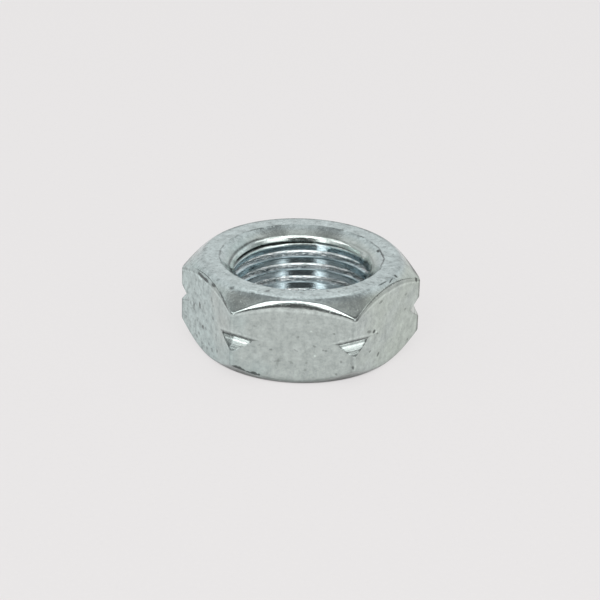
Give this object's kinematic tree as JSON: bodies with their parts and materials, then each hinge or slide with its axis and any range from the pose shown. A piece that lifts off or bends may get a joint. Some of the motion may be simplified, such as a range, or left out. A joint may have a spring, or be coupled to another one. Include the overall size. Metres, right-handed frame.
{
  "type": "jam nut",
  "caption": "Thin hexagonal steel nut with a fine left-hand thread, chamfered and countersunk on both faces, with V grooves across its corners.",
  "frame": {"origin": "centre of the lower bearing face, on the thread's axis", "axes": "+Z along the thread's axis from one bearing face to the other; two corners lie on the X axis and two flats face +Y and -Y"},
  "size_m": [0.025, 0.0218, 0.0096],
  "materials": {
    "zinc": "clear zinc plating, satin, finely mottled from forming"
  },
  "bodies": {
    "root": {"jam_nut": "zinc"}
  },
  "joints": []
}
